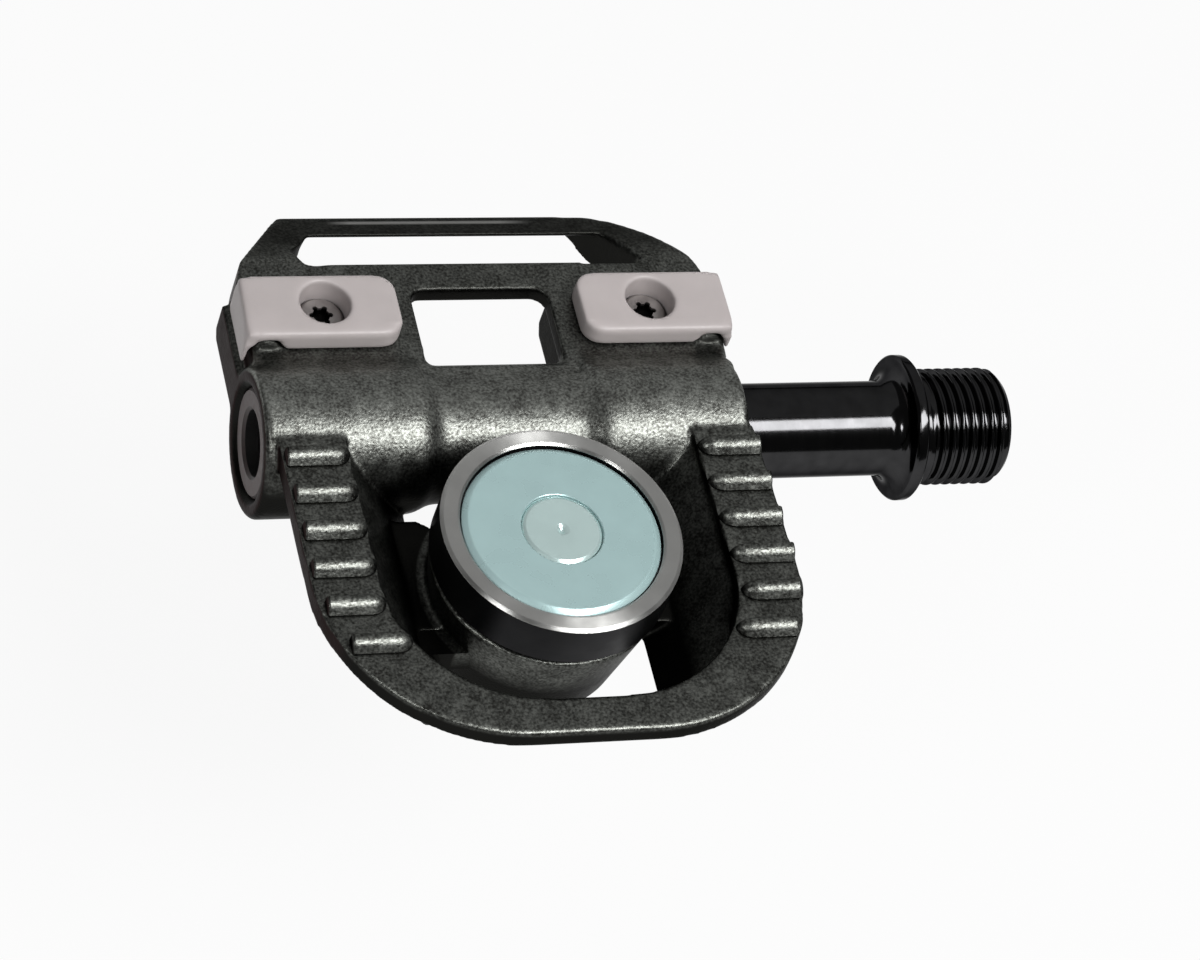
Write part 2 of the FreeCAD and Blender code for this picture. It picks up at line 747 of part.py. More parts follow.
def make_grip_pad(label, side):
    """A moulded pad with a lug over the block's edge, a key groove and a spigot; side is 1 or -1."""
    body = new_body(label, x=MID)
    flip = (lambda corners: corners) if side > 0 else mirrored
    top = new_sketch(body, f"{label}_plan", "XY_Plane", "plate_top")
    add_outline(top, flip([
        ("pad_inner + pad_corner", "pad_front"),
        (PAD_REACH, "pad_front"),
        (PAD_REACH, "pad_rear"),
        ("pad_inner + pad_corner", "pad_rear", "pad_corner", "left"),
        ("pad_inner", "pad_rear - pad_corner"),
        ("pad_inner", "pad_front + pad_corner", "pad_corner", "left"),
    ]))
    pad(body, top, "pad_height")
    lug = new_sketch(body, f"{label}_lug_plan", "XY_Plane", "plate_top - lug_drop")
    add_outline(lug, flip(rectangle("plate_reach + pad_clearance", PAD_REACH, "pad_front", "pad_rear")))
    pad(body, lug, "lug_drop")
    groove = new_sketch(body, f"{label}_key_section", "XZ_Plane", "-pad_rear")
    slant = "((ridge_base - ridge_crown) / 2)"
    add_outline(groove, flip([
        (f"{RIDGE_INNER} - pad_clearance", "plate_top"),
        ("plate_reach + pad_clearance", "plate_top"),
        (f"plate_reach - {slant} + pad_clearance", "plate_top + ridge_height + pad_clearance"),
        (f"{RIDGE_INNER} + {slant} - pad_clearance", "plate_top + ridge_height + pad_clearance"),
    ]))
    pocket(body, groove, backwards=True)
    middle = SCREW_ACROSS if side > 0 else f"-{SCREW_ACROSS}"
    spigot = new_sketch(body, f"{label}_spigot_plan", "XY_Plane", "plate_top")
    add_circle(spigot, middle, "screw_back", "spigot_radius")
    pad(body, spigot, "spigot_drop", backwards=True)
    sink = new_sketch(body, f"{label}_sink_plan", "XY_Plane", PAD_TOP)
    add_circle(sink, middle, "screw_back", "sink_radius")
    pocket(body, sink, "pad_height + screw_seat")
    shank = new_sketch(body, f"{label}_shank_plan", "XY_Plane", PAD_TOP)
    add_circle(shank, middle, "screw_back", "screw_radius + bolt_clearance")
    pocket(body, shank)


def make_pad_screw(label, side):
    """A pan-headed screw with a six-lobe recess, seated in the pad's spigot."""
    across = f"{MID} + {SCREW_ACROSS}" if side > 0 else f"{MID} - {SCREW_ACROSS}"
    body = new_body(label, x=across, y="screw_back", z=SCREW_SEAT_LEVEL)
    bevel = "screw_head_height / 4"
    turn_profile(body, f"{label}_section", [
        ("0", "-screw_length"),
        ("screw_radius", "-screw_length"),
        ("screw_radius", "0"),
        ("screw_head_radius", "0"),
        ("screw_head_radius", f"screw_head_height - {bevel}"),
        (f"screw_head_radius - {bevel}", "screw_head_height"),
        ("0", "screw_head_height"),
    ], plane="XZ_Plane", axis="V_Axis")
    core = new_sketch(body, f"{label}_core", "XY_Plane", "screw_head_height")
    add_circle(core, "0", "0", "lobe_core")
    pocket(body, core, "lobe_depth")
    lobe = new_sketch(body, f"{label}_lobe", "XY_Plane", "screw_head_height")
    add_circle(lobe, "lobe_ring", "0", "lobe_radius")
    around(body, pocket(body, lobe, "lobe_depth"), lobe, "N_Axis", "6")


def make_magnet():
    """The magnet's pot, ring, filler and damper, and the bolt, washer and nut that hold them."""
    upright_ring("magnet_damper", "boss_top", rectangle(
        "bolt_radius + bolt_clearance", "damper_radius", "0", "damper_thickness"))
    upright_ring("magnet_cup", CUP_LOW, [
        ("bolt_radius + bolt_clearance", "0"),
        ("cup_radius - cup_edge", "0"),
        ("cup_radius", "cup_edge"),
        ("cup_radius", "cup_height - cup_edge"),
        ("cup_radius - cup_edge", "cup_height"),
        ("cup_bore + cup_edge / 2", "cup_height"),
        ("cup_bore", "cup_height - cup_edge / 2"),
        ("cup_bore", "cup_floor"),
        ("bolt_radius + bolt_clearance", "cup_floor"),
    ])
    ring_height = "(cup_height - cup_floor - magnet_sink)"
    head_low = "(cup_height - cup_floor - bolt_sink - bolt_head_height)"
    head_rim = "(cup_height - cup_floor - bolt_sink - bolt_head_rim)"
    upright_ring("magnet_ring", CUP_FLOOR_TOP, [
        ("bolt_radius + bolt_clearance", "0"),
        ("magnet_radius", "0"),
        ("magnet_radius", f"{ring_height} - magnet_edge"),
        ("magnet_radius - magnet_edge", ring_height),
        ("bolt_head_radius + bolt_clearance", ring_height),
        ("bolt_head_radius + bolt_clearance", head_rim),
        ("bolt_radius + bolt_clearance", head_low),
    ])
    upright_ring("magnet_gap_filler", CUP_FLOOR_TOP, rectangle(
        "magnet_radius + seat_clearance", "cup_bore - seat_clearance", "0",
        "cup_height - cup_floor - filler_sink"))
    upright_ring("magnet_bolt", BOLT_TOP, [
        ("0", f"-({BOLT_TOP} + nut_drop)"),
        ("bolt_radius", f"-({BOLT_TOP} + nut_drop)"),
        ("bolt_radius", "-bolt_head_height"),
        ("bolt_head_radius", "-bolt_head_rim"),
        ("bolt_head_radius", "0"),
        ("bolt_dimple_radius", "0"),
        ("0", "-bolt_dimple_depth"),
    ])
    upright_ring("magnet_washer", NUT_TOP, rectangle(
        "bolt_radius + bolt_clearance", "washer_radius", "0", "washer_thickness"))
    nut = new_body("magnet_nut", x=MID, y="-magnet_back", z="-nut_drop")
    nut_plan = new_sketch(nut, "nut_plan", "XY_Plane")
    add_outline(nut_plan, hexagon("nut_across"))
    add_circle(nut_plan, "0", "0", "bolt_radius + thread_clearance")
    pad(nut, nut_plan, "nut_height")


def make_spindle():
    """The turned spindle: crank thread, flange, shaft, collar and bearing journal."""
    body = new_body("spindle")
    turn_profile(body, "spindle_section", [
        (f"{BEARING_ONE} + end_gap", "0"),
        (f"{BEARING_ONE} + end_gap", "journal_radius"),
        (STOP_START, "journal_radius"),
        (STOP_START, "collar_radius"),
        (f"{STOP_START} + collar_length", "collar_radius"),
        (f"{STOP_START} + collar_length", "shaft_radius"),
        ("-flange_thickness - shaft_fillet", "shaft_radius", "shaft_fillet", "left"),
        ("-flange_thickness", "shaft_radius + shaft_fillet"),
        ("-flange_thickness", "flange_radius - flange_bevel"),
        ("flange_bevel - flange_thickness", "flange_radius"),
        ("-flange_bevel", "flange_radius"),
        ("0", "flange_radius - flange_bevel"),
        ("0", "thread_radius + shoulder_clearance"),
        ("-shoulder_recess", "thread_radius + shoulder_clearance"),
        ("-shoulder_recess", "relief_radius"),
        ("relief_width", "relief_radius"),
        ("relief_width + thread_radius - relief_radius", "thread_radius"),
        ("thread_length - thread_chamfer", "thread_radius"),
        ("thread_length", "thread_radius - thread_chamfer"),
        ("thread_length", "0"),
    ])
    key = new_sketch(body, "key_plan", "YZ_Plane", "thread_length")
    add_outline(key, hexagon("key_across"))
    pocket(body, key, "key_depth")
    end_hole = new_sketch(body, "end_hole_plan", "YZ_Plane", BEARING_ONE)
    add_circle(end_hole, "0", "0", "end_screw_radius + thread_clearance")
    pocket(body, end_hole, "end_screw_length + end_hole_spare", backwards=True)


def make_end_fastening():
    """The washer and socket screw that clamp the bearings' inner rings to the spindle."""
    sleeve("spindle_end_washer", f"{BEARING_ONE} - end_washer_thickness", "end_washer_thickness",
           "end_screw_radius + bolt_clearance", "end_washer_radius")
    body = new_body("spindle_end_screw", x=f"{BEARING_ONE} - end_washer_thickness")
    turn_profile(body, "end_screw_section", [
        ("-end_screw_head_height", "0"),
        ("-end_screw_head_height", "end_screw_head_radius"),
        ("0", "end_screw_head_radius"),
        ("0", "end_screw_radius"),
        ("end_screw_length", "end_screw_radius"),
        ("end_screw_length", "0"),
    ])
    key = new_sketch(body, "end_key_plan", "YZ_Plane", "-end_screw_head_height")
    add_outline(key, hexagon("end_key_across"))
    pocket(body, key, "end_key_depth", backwards=True)


def make_bearing(name, start):
    """A shielded ball bearing: two rings, balls, cage and a shield at each face."""
    middle = "(bearing_width / 2)"
    groove = "(ball_radius + groove_clearance)"
    inner_half = f"sqrt({groove} * {groove} - ({BALL_PITCH} - race_inner) * ({BALL_PITCH} - race_inner))"
    outer_half = f"sqrt({groove} * {groove} - (race_outer - {BALL_PITCH}) * (race_outer - {BALL_PITCH}))"
    outer_ring = new_body(f"{name}_outer_ring", x=start)
    turn_profile(outer_ring, f"{name}_outer_section", [
        ("0", "race_outer"),
        (f"{middle} - {outer_half}", "race_outer", groove, "right"),
        (f"{middle} + {outer_half}", "race_outer"),
        ("bearing_width", "race_outer"),
        ("bearing_width", "bearing_radius"),
        ("0", "bearing_radius"),
    ])
    inner_ring = new_body(f"{name}_inner_ring", x=start)
    turn_profile(inner_ring, f"{name}_inner_section", [
        ("0", "journal_radius + seat_clearance"),
        ("bearing_width", "journal_radius + seat_clearance"),
        ("bearing_width", "race_inner"),
        (f"{middle} + {inner_half}", "race_inner", groove, "right"),
        (f"{middle} - {inner_half}", "race_inner"),
        ("0", "race_inner"),
    ])
    balls = doc.addObject("Part::Compound", f"{name}_balls")
    balls.Label = f"{name}_balls"
    spheres = []
    for step in range(SIZES["ball_count"]):
        ball = doc.addObject("Part::Sphere", f"{name}_ball")
        bind(ball, "Radius", "ball_radius")
        bind(ball, "Placement.Base.x", f"{start} + {middle}")
        bind(ball, "Placement.Base.y", f"{BALL_PITCH} * sin(360 * {step} / ball_count)")
        bind(ball, "Placement.Base.z", f"-{BALL_PITCH} * cos(360 * {step} / ball_count)")
        spheres.append(ball)
    balls.Links = spheres
    pieces.append(balls)
    cage = new_body(f"{name}_cage", x=f"{start} + {middle}")
    ring = turn_profile(cage, f"{name}_cage_section", rectangle(
        "-cage_half", "cage_half", "cage_inner", "cage_outer"))
    hole = new_sketch(cage, f"{name}_cage_hole", "XY_Plane")
    add_circle(hole, "0", "0", "cage_pocket")
    around(cage, pocket(cage, hole, "cage_outer + ball_radius"), ring.Profile[0], "H_Axis", "ball_count")
    shields = new_body(f"{name}_shields", x=start)
    for place, low in enumerate(("shield_sink", "bearing_width - shield_sink - shield_thickness")):
        turn_profile(shields, f"{name}_shield_{place}", rectangle(
            low, f"{low} + shield_thickness", "shield_bore", "race_outer - seat_clearance"))


def make_tube_fittings():
    """What sits in the tube beside the bearings: retainer, spacers, bush and seal."""
    retainer = new_body("bearing_retainer_ring", x=RETAINER_OUT)
    turn_profile(retainer, "retainer_section", [
        ("0", "retainer_bore + retainer_bevel"),
        ("retainer_bevel", "retainer_bore"),
        ("retainer_length", "retainer_bore"),
        ("retainer_length", "bearing_radius"),
        ("retainer_bevel", "bearing_radius"),
        ("0", "bearing_radius - retainer_bevel"),
    ])
    sleeve("inner_bearing_spacer", SPACER_START, "spacer_length",
           "journal_radius + seat_clearance", "race_inner")
    sleeve("outer_bearing_spacer", SPACER_START, "spacer_length", "race_outer", "bearing_radius")
    sleeve("plain_bush", BUSH_START, "bush_length", "shaft_radius + running_clearance", "bush_radius")
    sleeve("lip_seal", SEAL_START, "seal_length", "shaft_radius + lip_clearance", "seal_radius")


make_pedal_body()
for end, direction in (("outer", -1), ("inner", 1)):
    make_grip_pad(f"{end}_grip_pad", direction)
    make_pad_screw(f"{end}_pad_screw", direction)
make_magnet()
make_spindle()
make_end_fastening()
make_bearing("outboard_bearing", BEARING_ONE)
make_bearing("middle_bearing", BEARING_TWO)
make_tube_fittings()
doc.recompute()

for thing in doc.Objects:
    if "Invalid" in thing.State or "Error" in thing.State:
        raise RuntimeError(f"{thing.Label} failed: {thing.State}")
for piece in pieces:
    if piece.Shape.isNull() or not piece.Shape.isValid() or not piece.Shape.Solids:
        raise RuntimeError(f"{piece.Label} has no valid solid")

os.makedirs("parts", exist_ok=True)
for piece in pieces:
    piece.Shape.exportStep(f"parts/{piece.Label}.step")
    print(piece.Label, len(piece.Shape.Solids), round(piece.Shape.Volume, 2))
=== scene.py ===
import math
import bpy
from mathutils import Matrix, Vector


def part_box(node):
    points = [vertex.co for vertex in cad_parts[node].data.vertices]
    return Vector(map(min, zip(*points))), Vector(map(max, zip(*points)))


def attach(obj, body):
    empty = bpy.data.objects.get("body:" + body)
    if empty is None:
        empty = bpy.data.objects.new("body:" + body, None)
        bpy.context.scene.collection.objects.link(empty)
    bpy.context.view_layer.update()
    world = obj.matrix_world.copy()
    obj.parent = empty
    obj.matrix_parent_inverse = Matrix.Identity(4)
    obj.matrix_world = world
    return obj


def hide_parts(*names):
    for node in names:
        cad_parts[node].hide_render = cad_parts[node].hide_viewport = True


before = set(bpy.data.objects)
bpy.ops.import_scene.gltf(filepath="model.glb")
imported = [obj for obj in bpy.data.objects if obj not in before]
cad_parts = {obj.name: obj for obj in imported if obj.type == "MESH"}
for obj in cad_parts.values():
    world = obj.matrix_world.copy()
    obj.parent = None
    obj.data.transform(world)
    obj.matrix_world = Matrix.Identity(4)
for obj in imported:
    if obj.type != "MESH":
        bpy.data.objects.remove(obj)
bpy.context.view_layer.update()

# The pedal's body: one light-alloy casting with axle tube, rear plate, ribbed front loop and magnet boss.
# The mould leaves soft edges and a grained skin, which is coated black; its edges catch the light.
body_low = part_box("pedal_body")[0]
cup_low, cup_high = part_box("magnet_cup")
middle_x = (cup_low.x + cup_high.x) / 2
magnet_centre = Vector((middle_x, (cup_low.y + cup_high.y) / 2, 0))
boss_reach = 0.0141
seam_width = 0.000002
casting_voxel = 0.00030
casting_softness = 5
casting_share = 0.46
tube_radius = 0.0089
tube_sweep_start = 0.0036
waist_radius = 0.0077
waist_sweep_start = 0.0028
waist_half = 0.0100
plate_top = 0.0058
plate_skin = 0.0005
sweep_end = 0.0087
sweep_reach = 0.0290
ridge_front = 0.0092
lip_half = 0.0084
lip_front = 0.0050
lip_rear = 0.0080
lip_height = 0.0144586
lip_slope = 1.350874
slot_tip = [((-0.0199, 0.0228), (-0.0008, -0.0007), 0.0009),
            ((-0.0214, 0.0244), (-0.0005, 0.0), 0.0008)]
rail_top = 0.0074
rail_slope = math.radians(1.73)
rail_inner = 0.0212
rib_count = 6
rib_first = 0.00754
rib_pitch = 0.00529
rib_half = 0.00172
rib_margin = 0.0002
rib_zone_past = 0.4
last_rib_extra = 0.0020
far = 1.0
anywhere = (-far, far)


def cad_copy(node, name):
    """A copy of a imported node's mesh as a piece of its own, with its loose triangles merged."""
    bpy.ops.object.select_all(action="DESELECT")
    piece = bpy.data.objects.new(name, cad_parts[node].data.copy())
    bpy.context.scene.collection.objects.link(piece)
    piece.data.materials.clear()
    piece.select_set(True)
    bpy.context.view_layer.objects.active = piece
    bpy.ops.object.mode_set(mode="EDIT")
    bpy.ops.mesh.select_all(action="SELECT")
    bpy.ops.mesh.remove_doubles(threshold=seam_width)
    bpy.ops.object.mode_set(mode="OBJECT")
    return piece


def apply_modifier(piece, kind, **settings):
    """Add one modifier to the active piece, set it and apply it."""
    modifier = piece.modifiers.new(kind.lower(), kind)
    for setting, value in settings.items():
        setattr(modifier, setting, value)
    bpy.ops.object.modifier_apply(modifier=modifier.name)


def new_finish(name):
    """A new material; returns it with its tree and its surface shader."""
    finish = bpy.data.materials.new(name)
    finish.use_nodes = True
    return finish, finish.node_tree, finish.node_tree.nodes["Principled BSDF"]


def add_node(tree, kind, inputs, **settings):
    """One node with its settings; an input is a value, or the socket that feeds it."""
    node = tree.nodes.new(kind)
    for setting, value in settings.items():
        setattr(node, setting, value)
    for socket, value in inputs.items():
        if isinstance(value, bpy.types.NodeSocket):
            tree.links.new(value, node.inputs[socket])
        else:
            node.inputs[socket].default_value = value
    return node


def piece_coordinates(tree, centre=(0, 0, 0)):
    """The piece's own coordinates in metres, counted from the given centre."""
    coordinates = add_node(tree, "ShaderNodeTexCoord", {})
    inputs = {"Vector": coordinates.outputs["Object"], "Location": [-value for value in centre]}
    return add_node(tree, "ShaderNodeMapping", inputs).outputs[0]


def noise(tree, vector, size, detail=2.0, rough=0.5):
    """Cloudy noise whose clouds are about as wide as the given size."""
    inputs = {"Vector": vector, "Scale": 1 / size, "Detail": detail, "Roughness": rough}
    return add_node(tree, "ShaderNodeTexNoise", inputs).outputs[0]


def ramp(tree, value, *stops):
    """Colours blended along a value; a stop is (place, colour)."""
    node = add_node(tree, "ShaderNodeValToRGB", {"Fac": value})
    elements = node.color_ramp.elements
    while len(elements) < len(stops):
        elements.new(1.0)
    for element, (place, colour) in zip(elements, stops):
        element.position = place
        element.color = (*colour, 1)
    return node.outputs[0]


def spread(tree, value, low, high, to_low, to_high):
    """One range of a value mapped onto another."""
    inputs = {"Value": value, "From Min": low, "From Max": high, "To Min": to_low, "To Max": to_high}
    return add_node(tree, "ShaderNodeMapRange", inputs).outputs[0]


def relief(tree, shader, height, depth):
    """Let a height pattern stand out of the surface by the given depth."""
    bump = add_node(tree, "ShaderNodeBump", {"Height": height, "Distance": depth, "Strength": 1.0})
    tree.links.new(bump.outputs[0], shader.inputs["Normal"])


def facing(tree, axis):
    """How far the surface looks along one of the piece's own axes, from -1 to 1."""
    normal = add_node(tree, "ShaderNodeTexCoord", {}).outputs["Normal"]
    return add_node(tree, "ShaderNodeSeparateXYZ", {"Vector": normal}).outputs[axis]


def blend(tree, share, first, second):
    """Two colours mixed by a share: the first at 0, the second at 1."""
    node = add_node(tree, "ShaderNodeMix", {}, data_type="RGBA")
    sockets = {socket.identifier: socket for socket in node.inputs}
    for name, value in (("Factor_Float", share), ("A_Color", first), ("B_Color", second)):
        if isinstance(value, bpy.types.NodeSocket):
            tree.links.new(value, sockets[name])
        else:
            sockets[name].default_value = value
    return next(socket for socket in node.outputs if socket.identifier == "Result_Color")


def axis_distance(tree, place):
    """Distance from the upright axis through the origin of a place's coordinates."""
    parts = add_node(tree, "ShaderNodeSeparateXYZ", {"Vector": place})
    flat = add_node(tree, "ShaderNodeCombineXYZ", {"X": parts.outputs[0], "Y": parts.outputs[1]})
    return add_node(tree, "ShaderNodeVectorMath", {0: flat.outputs[0]}, operation="LENGTH").outputs["Value"]


def product(tree, first, second):
    """Two values multiplied."""
    return add_node(tree, "ShaderNodeMath", {0: first, 1: second}, operation="MULTIPLY").outputs[0]


def between(tree, value, rise, fall):
    """1 between two soft limits and 0 outside them; each limit is a (start, end) pair."""
    return product(tree, spread(tree, value, *rise, 0.0, 1.0), spread(tree, value, *fall, 1.0, 0.0))


# The coat's colours: its own grey metallic sheen in speckled steps, black for painted shade, a pale grey
# painted highlight, a lighter painted tube sheen and a brownish painted warm light.
coat_black = (0.012, 0.012, 0.011, 1)
painted_highlight = (0.42, 0.42, 0.405, 1)
painted_warm_light = (0.024, 0.017, 0.0165, 1)
coat_sheen = [(0.38, (0.045, 0.045, 0.041)), (0.50, (0.118, 0.122, 0.112)), (0.62, (0.215, 0.222, 0.205))]
painted_tube_sheen = [(0.38, (0.100, 0.100, 0.092)), (0.50, (0.220, 0.227, 0.210)), (0.62, (0.350, 0.362, 0.336))]
grain_size = 0.00034
grain_depth = 0.000038
grain_share = 0.62
cloud_size = 0.0026
looks_up = (0.10, 0.65)
looks_forward = (-0.12, -0.40)
looks_down = (-0.30, -0.70)
looks_outward = (-0.80, -0.95)
unshaded_level = (0.0006, 0.0028)
plate_fade = (0.0225, 0.0265)
plate_share, bar_share = 0.88, 0.26
tube_band = ((-0.0040, -0.0015), (0.0055, 0.0088))
behind_tube = (0.0076, 0.0084)
forward_shade_share = 0.85
under_share = 0.70
bar_slope = (0.30, 0.50)
bar_line = ((0.02995, 0.03030), (0.03055, 0.03085))
bar_length = ((middle_x - 0.0160, middle_x - 0.0130), (middle_x + 0.0060, middle_x + 0.0100))
boss_level = (-0.0025, 0.0015)
boss_blur = 0.0003
boss_share = 0.62
outer_end = (middle_x - 0.0262, middle_x - 0.0275)


def coated_casting():
    """Grey metallic coat over a grained casting, with painted light and shade: sideways and low faces, more
    so toward the rear bar, and forward faces behind the tube are painted black as shade; the tube's top
    band has a lighter painted sheen, the boss and underside get back much of the grey, the rear bar's edge
    has a painted highlight line and the outer end's outward faces a brownish painted warm light."""
    finish, tree, shader = new_finish("black_casting")
    here = piece_coordinates(tree)
    x, y, z = add_node(tree, "ShaderNodeSeparateXYZ", {"Vector": here}).outputs
    inward, rearward, upward = (facing(tree, axis) for axis in range(3))
    grain = noise(tree, here, grain_size, detail=2, rough=0.55)
    clouds = noise(tree, here, cloud_size, detail=6, rough=0.70)
    mixture = {0: grain, 1: grain_share, 2: product(tree, clouds, 1 - grain_share)}
    speckle = add_node(tree, "ShaderNodeMath", mixture, operation="MULTIPLY_ADD").outputs[0]
    sheen = ramp(tree, speckle, *coat_sheen)
    # Painted shade: the grey shows only on faces that look up and stand above the low parts, less toward
    # the rear bar; elsewhere the coat is painted black as shade.
    unshaded = product(tree, spread(tree, upward, *looks_up, 0.0, 1.0),
                     spread(tree, z, *unshaded_level, 0.0, 1.0))
    unshaded = product(tree, unshaded, spread(tree, y, *plate_fade, plate_share, bar_share))
    coat = blend(tree, unshaded, coat_black, sheen)
    # Painted sheen: the tube's top band is painted a lighter grey, where the light falls brightest.
    on_tube = between(tree, y, *tube_band)
    coat = blend(tree, product(tree, on_tube, unshaded), coat, ramp(tree, speckle, *painted_tube_sheen))
    # Painted shade: faces that look forward behind the tube are painted black.
    forward_shade = product(tree, spread(tree, y, *behind_tube, 0.0, 1.0),
                     spread(tree, rearward, *looks_forward, 0.0, forward_shade_share))
    coat = blend(tree, forward_shade, coat, coat_black)
    # Painted highlight: a pale line along the rear bar's upper edge.
    bar_highlight = product(tree, between(tree, y, *bar_line), spread(tree, upward, *bar_slope, 0.0, 1.0))
    bar_highlight = product(tree, bar_highlight, between(tree, x, *bar_length))
    coat = blend(tree, bar_highlight, coat, painted_highlight)
    coat = blend(tree, spread(tree, upward, *looks_down, 0.0, under_share), coat, sheen)
    from_boss = axis_distance(tree, piece_coordinates(tree, magnet_centre))
    on_boss = product(tree, spread(tree, from_boss, boss_reach, boss_reach + boss_blur, boss_share, 0.0),
                      spread(tree, z, *boss_level, 0.0, 1.0))
    coat = blend(tree, on_boss, coat, sheen)
    # Painted light: the faces that look outward at the outer end are painted a warm brownish light.
    end_light = product(tree, spread(tree, inward, *looks_outward, 0.0, 1.0),
                      spread(tree, x, *outer_end, 0.0, 1.0))
    coat = blend(tree, end_light, coat, painted_warm_light)
    tree.links.new(coat, shader.inputs["Base Color"])
    tree.links.new(spread(tree, clouds, 0.3, 0.7, 0.33, 0.43), shader.inputs["Roughness"])
    shader.inputs["Metallic"].default_value = 1.0
    shader.inputs["Specular Tint"].default_value = (0.5, 0.5, 0.5, 1)
    relief(tree, shader, grain, grain_depth)
    return finish


casting = cad_copy("pedal_body", "cast_body")
apply_modifier(casting, "REMESH", mode="VOXEL", voxel_size=casting_voxel)


def rail_level(back):
    """Height of the rails' upper face at a distance in front of the spindle."""
    return rail_top + back * math.tan(rail_slope)


rib_zone = [vertex for vertex in casting.data.vertices
            if rib_first - rib_half < -vertex.co.y < rib_first + (rib_count - 1 + rib_zone_past) * rib_pitch
            and abs(vertex.co.x - middle_x) > rail_inner - last_rib_extra - rib_margin]
for vertex in rib_zone:
    vertex.co.z = min(vertex.co.z, rail_level(-vertex.co.y))


def sweep_level(back, radius, start):
    """Height of the sweep that leaves a round of the given radius at start and ends level on the plate."""
    share = (back - start) / (sweep_end - start)
    top = math.sqrt(radius ** 2 - start ** 2)
    fall = -start / top * (sweep_end - start)
    return (plate_top + (top - plate_top) * (1 + 2 * share) * (1 - share) ** 2
            + fall * share * (1 - share) ** 2)


for vertex in casting.data.vertices:
    at = vertex.co
    aside = abs(at.x - middle_x)
    at_waist = aside <= waist_half
    radius, start = (waist_radius, waist_sweep_start) if at_waist else (tube_radius, tube_sweep_start)
    if aside < sweep_reach and start < at.y < ridge_front and at.z > plate_top - plate_skin:
        at.z = sweep_level(min(at.y, sweep_end), radius, start)
    if aside < lip_half and lip_front < at.y < lip_rear and at.z > 0:
        at.z = min(at.z, lip_height - lip_slope * at.y)
    for (tip_x, tip_y), (move_x, move_y), width in slot_tip:
        apart = math.hypot(at.x - middle_x - tip_x, at.y - tip_y)
        at.x += move_x * math.exp(-0.5 * (apart / width) ** 2)
        at.y += move_y * math.exp(-0.5 * (apart / width) ** 2)
apply_modifier(casting, "SMOOTH", factor=0.5, iterations=casting_softness)


def ease(piece, name, iterations, aside=anywhere, x=anywhere, y=anywhere, z=anywhere, reach=anywhere):
    """Blend the active piece softly between the limits: x runs from the pedal's middle, aside is the
    distance from it either way, and reach is the distance from the spindle's axis."""
    inside = []
    for vertex in piece.data.vertices:
        at = vertex.co
        across = at.x - middle_x
        if (aside[0] < abs(across) < aside[1] and x[0] < across < x[1] and y[0] < at.y < y[1]
                and z[0] < at.z < z[1] and reach[0] < math.hypot(at.y, at.z) < reach[1]):
            inside.append(vertex.index)
    group = piece.vertex_groups.new(name=name)
    group.add(inside, 1.0, "REPLACE")
    apply_modifier(piece, "SMOOTH", factor=0.5, iterations=iterations, vertex_group=name)


ease(casting, "waist_steps", 150, aside=(0.0068, 0.0135), y=(-far, 0.0045), reach=(0.0068, 0.0093))
ease(casting, "loop_edge", 12, y=(-far, -0.030), z=(0.0040, far))
ease(casting, "rear_corner", 24, x=(0.014, far), y=(0.0185, far))
ease(casting, "rear_edge", 14, y=(0.0306, far))
ease(casting, "rim_foot", 40, x=(0.0140, 0.0200), y=(0.0295, far), z=(-far, 0.0004))
ease(casting, "plate_ends", 16, aside=(0.0284, 0.0298), y=(0.0030, 0.0095), z=(0.0045, far))
ease(casting, "window_edge", 10, aside=(-far, 0.0110), y=(0.0166, 0.0196), z=(plate_top - 0.0014, far))
ease(casting, "key_ridges", 30, aside=(0.0225, 0.0292), y=(0.0080, 0.0112), z=(plate_top - 0.0006, far))
ease(casting, "plate_root", 12, aside=(-far, 0.0285), y=(0.0020, 0.0086), z=(0.0045, far))
casting_finish = coated_casting()
casting.data.materials.append(casting_finish)

# The ribs of the rails: twelve low bars of the same casting, with a rounded crest and straight flanks.
# Each runs across its rail and is rounded off at both ends.
crest_radius = 0.00163
crest_height = 0.00148
flank_angle = math.radians(48)
rib_sink = 0.0004
rib_inset = 0.00025
rib_search = 0.0003
front_foot = 0.00034
rear_edge = (0.00034, 0.00128)
rear_foot = 0.00052
crest_steps = 12
crest_back = math.radians(6)
section = [(-rib_half, -rib_sink), (-rib_half, 0), (-rib_half, front_foot)]
for step in range(crest_steps + 1):
    angle = crest_back + (flank_angle + crest_back) * (step / crest_steps - 1)
    section.append((crest_radius * math.sin(angle), crest_height - crest_radius * (1 - math.cos(angle))))
section += [rear_edge, (rear_foot, 0), (rear_foot, -rib_sink)]
open_end = [(0.0, 0.80), (0.00008, 0.92), (0.00025, 1.0)]
round_end = [(0.0, 0.22), (0.0002, 0.48), (0.0005, 0.70), (0.0010, 0.88), (0.0017, 1.0)]


